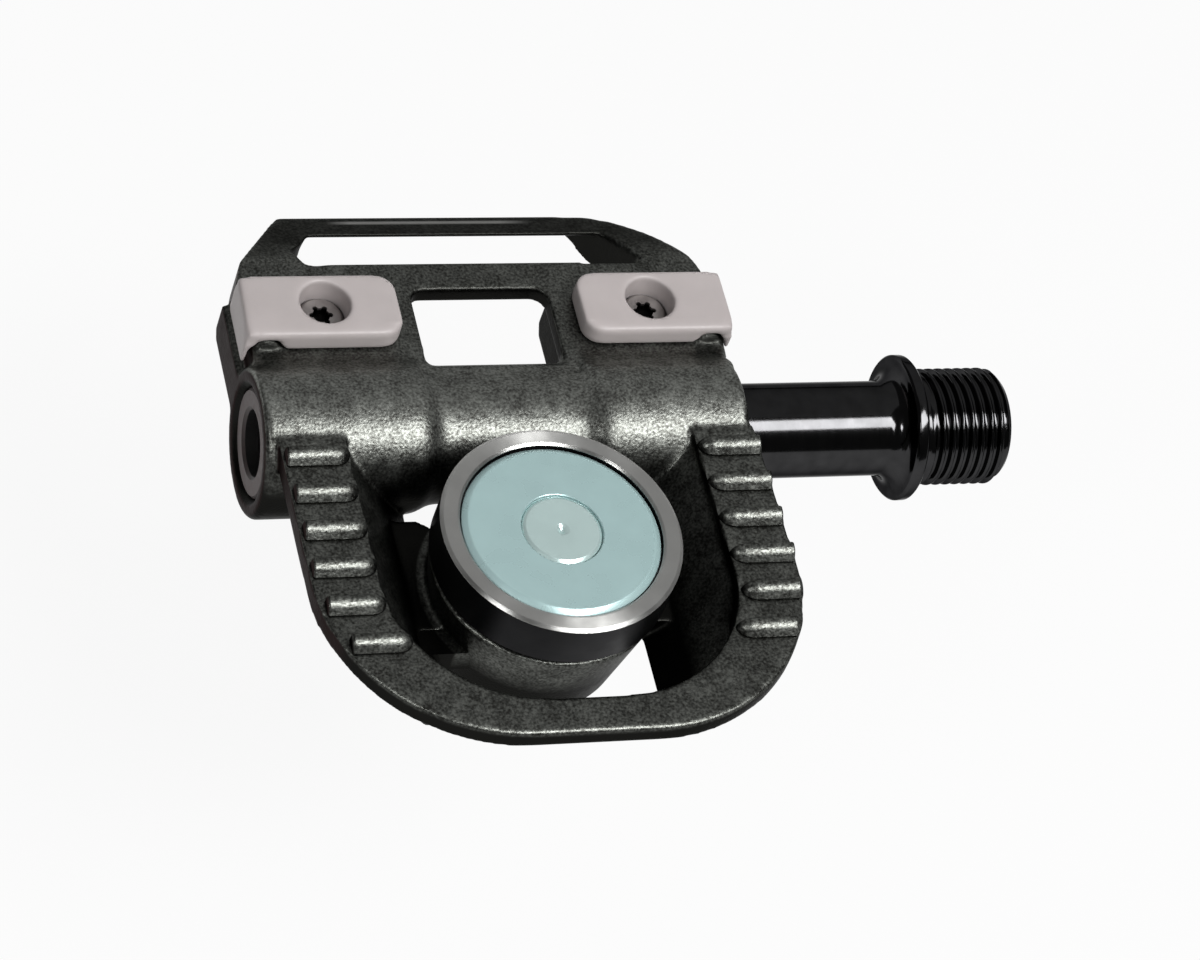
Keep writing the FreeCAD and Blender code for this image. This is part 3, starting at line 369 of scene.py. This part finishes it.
def rib(name, low, high, back, low_end, high_end):
    """One rib from low to high along x, on the rail's upper face, with an outline for each end."""
    bpy.ops.object.select_all(action="DESELECT")
    bpy.ops.mesh.primitive_circle_add(vertices=len(section), fill_type="NGON")
    piece = bpy.context.object
    piece.name = name
    stations = [(low + step, scale) for step, scale in low_end]
    stations += [(high - step, scale) for step, scale in reversed(high_end)]
    for vertex, (across, level) in zip(piece.data.vertices, section):
        vertex.co = (low, across * stations[0][1], level * stations[0][1])
    bpy.ops.object.mode_set(mode="EDIT")
    bpy.ops.mesh.select_all(action="SELECT")
    for (place, scale), (next_place, next_scale) in zip(stations, stations[1:]):
        bpy.ops.mesh.extrude_region_move(TRANSFORM_OT_translate={"value": (next_place - place, 0, 0)})
        change = next_scale / scale
        bpy.ops.transform.resize(value=(1, change, change), center_override=(next_place, 0, 0))
    bpy.ops.mesh.select_all(action="SELECT")
    bpy.ops.transform.translate(value=(0, -back, rail_level(back)))
    bpy.ops.mesh.normals_make_consistent(inside=False)
    bpy.ops.object.mode_set(mode="OBJECT")
    bpy.ops.object.shade_smooth_by_angle(angle=math.radians(30))
    return piece


ribs = []
for number in range(rib_count):
    back = rib_first + number * rib_pitch
    edge = [abs(vertex.co.x - middle_x) for vertex in casting.data.vertices
            if abs(-vertex.co.y - back - rib_half) < rib_search
            and vertex.co.z > rail_level(back) - rib_search]
    outer = max(edge) - rib_inset
    inner = rail_inner - (last_rib_extra if number == rib_count - 1 else 0)
    ribs.append(rib(f"outer_rib_{number}", middle_x - outer, middle_x - inner, back, open_end, round_end))
    ribs.append(rib(f"inner_rib_{number}", middle_x + inner, middle_x + outer, back, round_end, open_end))

# The outer web: a short block of the same casting that ties the magnet's boss to the loop's outer side.
# Its inner end is hollowed to the boss, and it is joined to the casting together with the ribs.
web_place = Vector((middle_x - 0.0127, -0.0289, -0.0013))
web_size = (0.0090, 0.0034, 0.0032)
web_sink = 0.0124
bpy.ops.object.select_all(action="DESELECT")
bpy.ops.mesh.primitive_cube_add(size=1, location=web_place, scale=web_size)
web = bpy.context.object
web.name = "outer_web"
bpy.ops.object.transform_apply(location=True, rotation=True, scale=True)
for vertex in web.data.vertices:
    if vertex.co.x > web_place.x:
        apart = vertex.co.y - magnet_centre.y
        vertex.co.x = middle_x - math.sqrt(web_sink ** 2 - apart ** 2)
bpy.ops.object.select_all(action="DESELECT")
casting.select_set(True)
bpy.context.view_layer.objects.active = casting
apply_modifier(casting, "DECIMATE", ratio=casting_share)
bpy.ops.object.shade_smooth()
for piece in [*ribs, web]:
    piece.data.materials.append(casting_finish)
    piece.select_set(True)
bpy.ops.object.join()
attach(casting, "pedal")
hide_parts("pedal_body")

# The two grip pads: moulded light grey plastic, each keyed over a ridge of the casting and held by a screw.
# Edges are rounded by the mould, and the faces have a fine matt skin.
pad_front = 0.0090
pad_rear = 0.0180
lug_inner = 0.02945
lug_stretch = 2.3
lug_lean = 1.1
end_flare = 0.00035
flare_start = 0.0270
flare_length = 0.0024
pad_voxel = 0.00018
pad_softness = 40
pad_share = 0.6


def moulded_grey():
    """Light grey plastic with a warm cast, a fine matt skin and faint flow clouds."""
    finish, tree, shader = new_finish("grey_moulding")
    here = piece_coordinates(tree)
    clouds = noise(tree, here, 0.005, detail=4)
    skin = noise(tree, here, 0.00025, detail=2)
    colour = ramp(tree, clouds, (0.3, (0.395, 0.358, 0.353)), (0.7, (0.432, 0.392, 0.387)))
    tree.links.new(colour, shader.inputs["Base Color"])
    tree.links.new(spread(tree, skin, 0.3, 0.7, 0.40, 0.50), shader.inputs["Roughness"])
    relief(tree, shader, skin, 0.00001)
    return finish


pad_finish = moulded_grey()
for end in ("outer", "inner"):
    pad = cad_copy(f"{end}_grip_pad", f"{end}_pad_moulding")
    apply_modifier(pad, "REMESH", mode="VOXEL", voxel_size=pad_voxel)
    for vertex in pad.data.vertices:
        out = middle_x - vertex.co.x
        back = min(max((vertex.co.y - pad_front) / (pad_rear - pad_front), 0), 1)
        if out > lug_inner and vertex.co.z < plate_top:
            vertex.co.z = plate_top - (plate_top - vertex.co.z) * (lug_stretch + lug_lean * back)
        if out > 0:
            vertex.co.x -= end_flare * (1 - back) * min(max((out - flare_start) / flare_length, 0), 1)
    apply_modifier(pad, "SMOOTH", factor=0.5, iterations=pad_softness)
    ease(pad, "front_edge", 110, y=(-far, pad_front + 0.0016), z=(plate_top + 0.0010, far))
    ease(pad, "end_edge", 60, aside=(0.0286, far), z=(plate_top + 0.0012, far))
    apply_modifier(pad, "DECIMATE", ratio=pad_share)
    bpy.ops.object.shade_smooth()
    pad.data.materials.append(pad_finish)
    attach(pad, "pedal")
    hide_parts(f"{end}_grip_pad")

# The pad screws and the small plain steel pieces: screw heads with a six-lobe recess, washers, nut
# and spacers, all of turned or pressed steel with faint tool marks.
recess_painted_shade = (0.006, 0.006, 0.006, 1)
recess_rim = (0.0005, 0.0001)


def plain_steel(name, colour, rough, mark, recess=None):
    """Bare steel with faint clouds and fine marks of the given size, painted black as shade below a
    recess's rim.
    """
    finish, tree, shader = new_finish(name)
    here = piece_coordinates(tree)
    clouds = noise(tree, here, 0.002, detail=4)
    marks = noise(tree, here, mark, detail=3)
    darker = [0.72 * value for value in colour]
    face = ramp(tree, clouds, (0.3, darker), (0.7, colour))
    # Painted shade: inside the recess, below its rim, the steel is painted black.
    if recess:
        height = add_node(tree, "ShaderNodeSeparateXYZ", {"Vector": here}).outputs[2]
        rim = spread(tree, height, recess - recess_rim[0], recess - recess_rim[1], 0.0, 1.0)
        face = blend(tree, rim, recess_painted_shade, face)
    tree.links.new(face, shader.inputs["Base Color"])
    tree.links.new(spread(tree, clouds, 0.3, 0.7, rough - 0.06, rough + 0.08), shader.inputs["Roughness"])
    shader.inputs["Metallic"].default_value = 1.0
    relief(tree, shader, marks, 0.000012)
    return finish


def dress(nodes, finish):
    """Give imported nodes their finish."""
    for node in nodes:
        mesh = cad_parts[node].data
        mesh.materials.clear()
        mesh.materials.append(finish)


screw_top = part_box("outer_pad_screw")[1].z
dress(["outer_pad_screw", "inner_pad_screw"],
      plain_steel("screw_steel", (0.44, 0.41, 0.40), 0.42, 0.00020, recess=screw_top))
dress(["magnet_washer", "magnet_nut", "spindle_end_washer", "inner_bearing_spacer", "outer_bearing_spacer"],
      plain_steel("small_steel", (0.45, 0.44, 0.43), 0.36, 0.00025))

# The pot magnet: a turned steel cup, a zinc-plated ring magnet, dark resin in the gap between them,
# and a bolt with a flat countersunk head that clamps them to the boss over a rubber washer.
ring_low, ring_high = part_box("magnet_ring")
filler_low, filler_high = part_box("magnet_gap_filler")
bolt_low, bolt_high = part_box("magnet_bolt")
pot_radius = (cup_high.x - cup_low.x) / 2
filler_gap = 0.00001
pot_bore = (filler_high.x - filler_low.x) / 2 + filler_gap
pot_floor = filler_low.z
pot_edge = 0.00045
lip_edge = 0.00035
plate_edge = 0.00080
shank_hole = 0.00265
ring_radius = (ring_high.x - ring_low.x) / 2
head_radius = (bolt_high.x - bolt_low.x) / 2
head_rim = 0.0004
head_height = 0.0024
head_clearance = 0.00012
head_edge = 0.00050
bolt_radius = 0.0025
dimple_radius = 0.00075
dimple_depth = 0.0005
round_steps = 192
rim_lean = math.radians(30)
rim_steps = 6
rim_corner = 0.3
rim_crown = [(0.12, 0.80), (0.03, 0.92), (0.0, 1.06), (0.0, 1.25)]


def turned(name, stations, solid=False):
    """A piece turned about the upright axis: a ring extruded from station to station, (height, radius)."""
    bpy.ops.object.select_all(action="DESELECT")
    height, radius = stations[0]
    bpy.ops.mesh.primitive_circle_add(vertices=round_steps, radius=radius,
                                      fill_type="NGON" if solid else "NOTHING")
    piece = bpy.context.object
    piece.name = name
    bpy.ops.object.mode_set(mode="EDIT")
    bpy.ops.mesh.select_all(action="SELECT")
    bpy.ops.transform.translate(value=(0, 0, height))
    for next_height, next_radius in stations[1:]:
        bpy.ops.mesh.extrude_region_move(TRANSFORM_OT_translate={"value": (0, 0, next_height - height)})
        scale = next_radius / radius
        bpy.ops.transform.resize(value=(scale, scale, 1), center_override=(0, 0, next_height))
        height, radius = next_height, next_radius
    bpy.ops.mesh.select_all(action="SELECT")
    bpy.ops.mesh.remove_doubles(threshold=seam_width)
    bpy.ops.mesh.normals_make_consistent(inside=False)
    bpy.ops.object.mode_set(mode="OBJECT")
    return piece


def rounded_rim(height, radius, width):
    """Stations of a soft upper edge, side first: a leaning bevel with rounded ends.
    A negative width is for a hole."""
    drop = abs(width) * math.tan(rim_lean)
    corner = rim_corner * abs(width)
    side = math.copysign(1, width)
    arc = [(height - drop - 1.6 * corner, radius)]
    for step in range(rim_steps + 1):
        turn = rim_lean + (math.radians(90) - rim_lean) * (1 - step / rim_steps)
        arc.append((height - drop - corner * (math.cos(rim_lean) - math.cos(turn)),
                    radius - side * corner * (1 - math.sin(turn))))
    return arc + [(height - down * drop, radius - across * width) for down, across in rim_crown]


def settle(piece, place=(0, 0, 0), turn=(0, 0, 0)):
    """Move a finished piece to its place, with the place kept in its mesh."""
    bpy.ops.object.select_all(action="DESELECT")
    piece.select_set(True)
    bpy.context.view_layer.objects.active = piece
    piece.location = place
    piece.rotation_euler = turn
    bpy.ops.object.transform_apply(location=True, rotation=True, scale=True)


def turned_metal(name, colour, side_shade_colour, rough, centre, mark, depth):
    """Metal with the fine rings that a lathe leaves round the upright axis, painted near black as shade on
    its side.
    """
    finish, tree, shader = new_finish(name)
    here = piece_coordinates(tree, centre)
    height = add_node(tree, "ShaderNodeSeparateXYZ", {"Vector": here}).outputs[2]
    ring_place = add_node(tree, "ShaderNodeCombineXYZ", {"X": axis_distance(tree, here), "Z": height})
    rings = noise(tree, ring_place.outputs[0], mark, detail=2)
    clouds = noise(tree, here, 0.003, detail=4)
    darker = [0.85 * value for value in colour]
    face = ramp(tree, clouds, (0.3, darker), (0.7, colour))
    # Painted shade: faces that look sideways take the near-black side colour instead of the metal's own
    # grey.
    side = spread(tree, facing(tree, 2), 0.05, 0.35, 0.0, 1.0)
    tree.links.new(blend(tree, side, (*side_shade_colour, 1), face), shader.inputs["Base Color"])
    tree.links.new(spread(tree, clouds, 0.3, 0.7, rough - 0.04, rough + 0.05), shader.inputs["Roughness"])
    shader.inputs["Metallic"].default_value = 1.0
    shader.inputs["Anisotropic"].default_value = 0.9
    shader.inputs["Anisotropic Rotation"].default_value = 0.25
    round_axis = add_node(tree, "ShaderNodeTangent", {}, direction_type="RADIAL", axis="Z")
    tree.links.new(round_axis.outputs[0], shader.inputs["Tangent"])
    relief(tree, shader, rings, depth)
    return finish


def zinc_plate(name, colour, rough, bare):
    """Blue-passivated zinc: an even satin plate with faint clouds and a pale crystal grain."""
    finish, tree, shader = new_finish(name)
    here = piece_coordinates(tree)
    clouds = noise(tree, here, 0.004, detail=4, rough=0.55)
    grain = noise(tree, here, 0.0006, detail=2)
    darker = [0.94 * value for value in colour]
    tree.links.new(ramp(tree, clouds, (0.3, darker), (0.7, colour)), shader.inputs["Base Color"])
    tree.links.new(spread(tree, clouds, 0.3, 0.7, rough - 0.03, rough + 0.04), shader.inputs["Roughness"])
    shader.inputs["Metallic"].default_value = bare
    relief(tree, shader, grain, 0.000003)
    return finish


pot = turned("magnet_pot", [
    (cup_low.z, shank_hole), (cup_low.z, pot_radius - lip_edge),
    (cup_low.z + lip_edge, pot_radius), *rounded_rim(cup_high.z, pot_radius, pot_edge),
    *reversed(rounded_rim(cup_high.z, pot_bore, -lip_edge)), (pot_floor, pot_bore), (pot_floor, shank_hole),
    (cup_low.z, shank_hole)])
bpy.ops.object.shade_smooth_by_angle(angle=math.radians(30))
settle(pot, magnet_centre)
pot.data.materials.append(turned_metal("satin_steel", (0.64, 0.64, 0.62), (0.011, 0.011, 0.012), 0.34,
                                       magnet_centre, 0.00025, 0.000003))
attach(pot, "pedal")
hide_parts("magnet_cup")

head_seat = bolt_high.z - head_height
magnet = turned("zinc_magnet", [
    (ring_low.z, shank_hole), (ring_low.z, ring_radius), *rounded_rim(ring_high.z, ring_radius, plate_edge),
    *reversed(rounded_rim(ring_high.z, head_radius + head_clearance, -head_clearance)),
    (bolt_high.z - head_rim, head_radius + head_clearance), (head_seat, shank_hole),
    (ring_low.z, shank_hole)])
bpy.ops.object.shade_smooth_by_angle(angle=math.radians(30))
settle(magnet, magnet_centre)
magnet.data.materials.append(zinc_plate("blue_zinc", (0.375, 0.525, 0.525), 0.28, 0.30))
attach(magnet, "pedal")
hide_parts("magnet_ring")

bolt = turned("flat_bolt", [
    (bolt_low.z, bolt_radius), (head_seat, bolt_radius), (bolt_high.z - 1.5 * head_edge, head_radius),
    *rounded_rim(bolt_high.z, head_radius, head_edge), (bolt_high.z, 1.3 * dimple_radius),
    (bolt_high.z - 0.1 * dimple_depth, dimple_radius),
    (bolt_high.z - dimple_depth, dimple_radius / 5)], solid=True)
bpy.ops.object.shade_smooth_by_angle(angle=math.radians(30))
settle(bolt, magnet_centre)
bolt.data.materials.append(zinc_plate("bright_zinc", (0.52, 0.66, 0.645), 0.20, 0.45))
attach(bolt, "pedal")
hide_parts("magnet_bolt")


def dark_filling(name, colour, rough, size):
    """Dark resin or rubber: near black, with a faint mottle and a fine skin."""
    finish, tree, shader = new_finish(name)
    here = piece_coordinates(tree)
    mottle = noise(tree, here, size, detail=3)
    paler = [1.8 * value for value in colour]
    tree.links.new(ramp(tree, mottle, (0.3, colour), (0.7, paler)), shader.inputs["Base Color"])
    tree.links.new(spread(tree, mottle, 0.3, 0.7, rough - 0.06, rough + 0.06), shader.inputs["Roughness"])
    relief(tree, shader, mottle, 0.00001)
    return finish


dress(["magnet_gap_filler"], dark_filling("gap_resin", (0.010, 0.012, 0.014), 0.28, 0.0006))
dress(["magnet_damper", "lip_seal"], dark_filling("black_rubber", (0.012, 0.012, 0.012), 0.62, 0.0004))

# The spindle: one turned steel bar, polished and blackened, with a flange that seats on the crank
# and a rolled thread beyond it. A hexagon socket in the thread's end takes the fitting key.
spindle_low, spindle_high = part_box("spindle")
flange_radius = spindle_high.y
flange_thickness = 0.0016
flange_bevel = 0.0003
shaft_radius = 0.00578
shaft_fillet = 0.0022
fillet_steps = 8
collar_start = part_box("middle_bearing_inner_ring")[1].x
collar_length = 0.003
collar_radius = 0.0044
journal_radius = 0.003
thread_radius = 0.007144
thread_pitch = 0.00127
thread_depth = 0.00068
thread_chamfer = 0.0010
chamfer_steps = 6
edge_break = 0.00009
thread_crest = 0.16
thread_root = 0.78
turn_steps = 14
relief_radius = 0.0065
relief_end = 0.0013
recess_depth = 0.0004
recess_clearance = 0.00015
recess_radius = thread_radius + recess_clearance
key_across = 0.006
key_depth = 0.008
end_hole_radius = 0.00202
end_hole_depth = 0.0103
end_hole_steps = 48
along_spindle = (0, math.radians(90), 0)


def bore(piece, end, sides, radius, depth):
    """Sink a hole with the given number of sides into one end of the spindle, along its axis."""
    bpy.ops.object.select_all(action="DESELECT")
    bpy.ops.mesh.primitive_cylinder_add(vertices=sides, radius=radius, depth=2 * depth,
                                        location=(end, 0, 0), rotation=along_spindle)
    cutter = bpy.context.object
    bpy.context.view_layer.objects.active = piece
    apply_modifier(piece, "BOOLEAN", object=cutter, operation="DIFFERENCE", solver="EXACT")
    bpy.data.objects.remove(cutter)


fillet = []
for step in range(fillet_steps + 1):
    angle = math.radians(90) * step / fillet_steps
    fillet.append((-flange_thickness - shaft_fillet * (1 - math.sin(angle)),
                   shaft_radius + shaft_fillet * (1 - math.cos(angle))))
thread_start = relief_end + thread_radius - relief_radius
thread_end = spindle_high.x - thread_chamfer
rows = round((thread_end - thread_start) / thread_pitch * turn_steps)
thread = [(thread_start + (thread_end - thread_start) * row / rows, thread_radius)
          for row in range(rows + 1)]
chamfer = [(thread_end + thread_chamfer * step / chamfer_steps,
            thread_radius - thread_chamfer * step / chamfer_steps) for step in range(1, chamfer_steps + 1)]
bar = turned("spindle_bar", [
    (spindle_low.x, journal_radius), (collar_start, journal_radius), (collar_start, collar_radius),
    (collar_start + collar_length, collar_radius), (collar_start + collar_length, shaft_radius), *fillet,
    (-flange_thickness, flange_radius - flange_bevel), (flange_bevel - flange_thickness, flange_radius),
    (-flange_bevel, flange_radius), (0, flange_radius - flange_bevel), (0, recess_radius),
    (-recess_depth, recess_radius), (-recess_depth, relief_radius), (relief_end, relief_radius),
    *thread, *chamfer], solid=True)
apply_modifier(bar, "BEVEL", width=edge_break, segments=3, limit_method="ANGLE",
               angle_limit=math.radians(20))
for vertex in bar.data.vertices:
    reach = math.hypot(vertex.co.x, vertex.co.y)
    turns = vertex.co.z / thread_pitch - math.atan2(vertex.co.y, vertex.co.x) / math.tau
    flank = (abs(2 * (turns % 1) - 1) - thread_crest) / (thread_root - thread_crest)
    flank = min(max(flank, 0), 1)
    limit = thread_radius - thread_depth * flank * flank * (3 - 2 * flank)
    if vertex.co.z > relief_end and reach > limit:
        vertex.co.x *= limit / reach
        vertex.co.y *= limit / reach
settle(bar, turn=along_spindle)
bore(bar, spindle_high.x, 6, key_across / math.sqrt(3), key_depth)
bore(bar, spindle_low.x, end_hole_steps, end_hole_radius, end_hole_depth)
bpy.ops.object.select_all(action="DESELECT")
bar.select_set(True)
bpy.ops.object.shade_smooth_by_angle(angle=math.radians(55))
apply_modifier(bar, "WEIGHTED_NORMAL", keep_sharp=True)


def black_polish(name, colour, rough):
    """Polished steel, blackened in a bath: deep black with faint turning rings along the bar."""
    finish, tree, shader = new_finish(name)
    here = piece_coordinates(tree)
    along = add_node(tree, "ShaderNodeSeparateXYZ", {"Vector": here}).outputs[0]
    rings = noise(tree, add_node(tree, "ShaderNodeCombineXYZ", {"X": along}).outputs[0], 0.00025, detail=3)
    clouds = noise(tree, here, 0.002, detail=4)
    paler = [1.35 * value for value in colour]
    tree.links.new(ramp(tree, clouds, (0.3, colour), (0.7, paler)), shader.inputs["Base Color"])
    tree.links.new(spread(tree, rings, 0.3, 0.7, rough - 0.02, rough + 0.04), shader.inputs["Roughness"])
    shader.inputs["Metallic"].default_value = 1.0
    shader.inputs["Specular Tint"].default_value = (0.4, 0.4, 0.4, 1)
    relief(tree, shader, rings, 0.000002)
    return finish


bar.data.materials.append(black_polish("black_spindle", (0.033, 0.033, 0.034), 0.11))
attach(bar, "spindle")
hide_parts("spindle")
dress(["spindle_end_screw"], black_polish("black_screw", (0.020, 0.019, 0.019), 0.30))

# The bearings inside the tube: two cartridge bearings, a moulded bush at the crank's side and a bronze
# ring that is pressed into the outer mouth. Rings and balls are ground steel, shields are pressed steel.
bearings = ("outboard", "middle")
bore_painted_shade = (0.004, 0.0035, 0.0035, 1)


def mouth_bronze():
    """Brown bronze on the ring's outward face, painted black as shade on its other faces and in its bore.
    """
    finish, tree, shader = new_finish("brown_bronze")
    mottle = noise(tree, piece_coordinates(tree), 0.0006, detail=3)
    face = ramp(tree, mottle, (0.3, (0.036, 0.022, 0.021)), (0.7, (0.065, 0.040, 0.038)))
    outward = spread(tree, facing(tree, 0), -0.55, -0.85, 0.0, 1.0)
    # Painted shade: every face that doesn't look outward, the bore with it, is painted black.
    tree.links.new(blend(tree, outward, bore_painted_shade, face), shader.inputs["Base Color"])
    tree.links.new(spread(tree, mottle, 0.3, 0.7, 0.50, 0.62), shader.inputs["Roughness"])
    relief(tree, shader, mottle, 0.00001)
    return finish


dress(["bearing_retainer_ring"], mouth_bronze())
dress([f"{bearing}_bearing_{ring}" for bearing in bearings
       for ring in ("outer_ring", "inner_ring", "balls")],
      plain_steel("ground_steel", (0.60, 0.59, 0.58), 0.18, 0.00018))
dress([f"{bearing}_bearing_shields" for bearing in bearings],
      plain_steel("pressed_steel", (0.48, 0.48, 0.49), 0.30, 0.0003))
dress(["plain_bush", *(f"{bearing}_bearing_cage" for bearing in bearings)],
      dark_filling("bush_moulding", (0.030, 0.028, 0.026), 0.45, 0.0005))

# Floor, light and camera: a plain white floor under a soft box, with a wide dim panel behind and a small
# lamp at the outer side. The floor lies low enough for the pedal to spin above it.
floor_drop = 0.045
floor_size = 12
floor_colour = (0.60, 0.60, 0.60, 1)
floor_glow = 0.92
world_strength = 0.07
bpy.ops.object.select_all(action="DESELECT")
bpy.ops.mesh.primitive_plane_add(size=floor_size, location=(middle_x, 0, body_low.z - floor_drop))
floor = bpy.context.object
floor.name = "floor"
finish, tree, shader = new_finish("white_floor")
shader.inputs["Base Color"].default_value = floor_colour
shader.inputs["Specular IOR Level"].default_value = 0.0
rays = add_node(tree, "ShaderNodeLightPath", {}).outputs
seen = rays["Is Camera Ray"]
for ray in ("Is Glossy Ray", "Is Transmission Ray"):
    seen = add_node(tree, "ShaderNodeMath", {0: seen, 1: rays[ray]}, operation="MAXIMUM").outputs[0]
glow = add_node(tree, "ShaderNodeEmission", {"Color": (1, 1, 1, 1), "Strength": 1.0})
share = product(tree, seen, floor_glow)
mix = add_node(tree, "ShaderNodeMixShader", {0: share, 1: shader.outputs[0], 2: glow.outputs[0]})
tree.links.new(mix.outputs[0], tree.nodes["Material Output"].inputs["Surface"])
floor.data.materials.append(finish)

target = Vector((-0.045, -0.008, 0.003))


def soft_box(name, direction, distance, size, power):
    """A rectangular lamp that looks at the pedal from the given direction."""
    lamp = bpy.data.lights.new(name, "AREA")
    lamp.shape = "RECTANGLE"
    lamp.size, lamp.size_y = size
    lamp.energy = power
    holder = bpy.data.objects.new(name, lamp)
    bpy.context.scene.collection.objects.link(holder)
    toward = Vector(direction).normalized()
    holder.location = target + toward * distance
    holder.rotation_mode = "QUATERNION"
    holder.rotation_quaternion = toward.to_track_quat("Z", "Y")


soft_box("key_box", (0.34, -0.43, 0.83), 0.7, (0.40, 0.22), 5.4)
soft_box("back_panel", (0.25, 0.65, 0.72), 1.2, (2.4, 2.0), 4.2)
soft_box("side_spot", (-0.60, -0.45, 0.62), 0.7, (0.13, 0.13), 1.1)

world = bpy.data.worlds.new("studio")
world.use_nodes = True
sky = world.node_tree.nodes["Background"].inputs
sky["Color"].default_value = (1, 1, 1, 1)
sky["Strength"].default_value = world_strength
bpy.context.scene.world = world

camera_place = Vector((-0.2053, -0.2826, 0.3801))
camera_right = Vector((0.9433, -0.2170, 0.2511))
camera_up = Vector((0.0265, 0.8035, 0.5948))
camera_lens = 126.32
sensor_width = 36
camera_look = camera_right.cross(-camera_up).normalized()
camera = bpy.data.objects.new("camera", bpy.data.cameras.new("camera"))
bpy.context.scene.collection.objects.link(camera)
camera.data.sensor_width = sensor_width
camera.data.lens = camera_lens
camera.data.clip_start = 0.01
turn = Matrix((camera_right, camera_up, -camera_look)).transposed()
camera.matrix_world = Matrix.Translation(camera_place) @ turn.to_4x4()
bpy.context.scene.camera = camera

bpy.context.scene.view_settings.view_transform = "Standard"
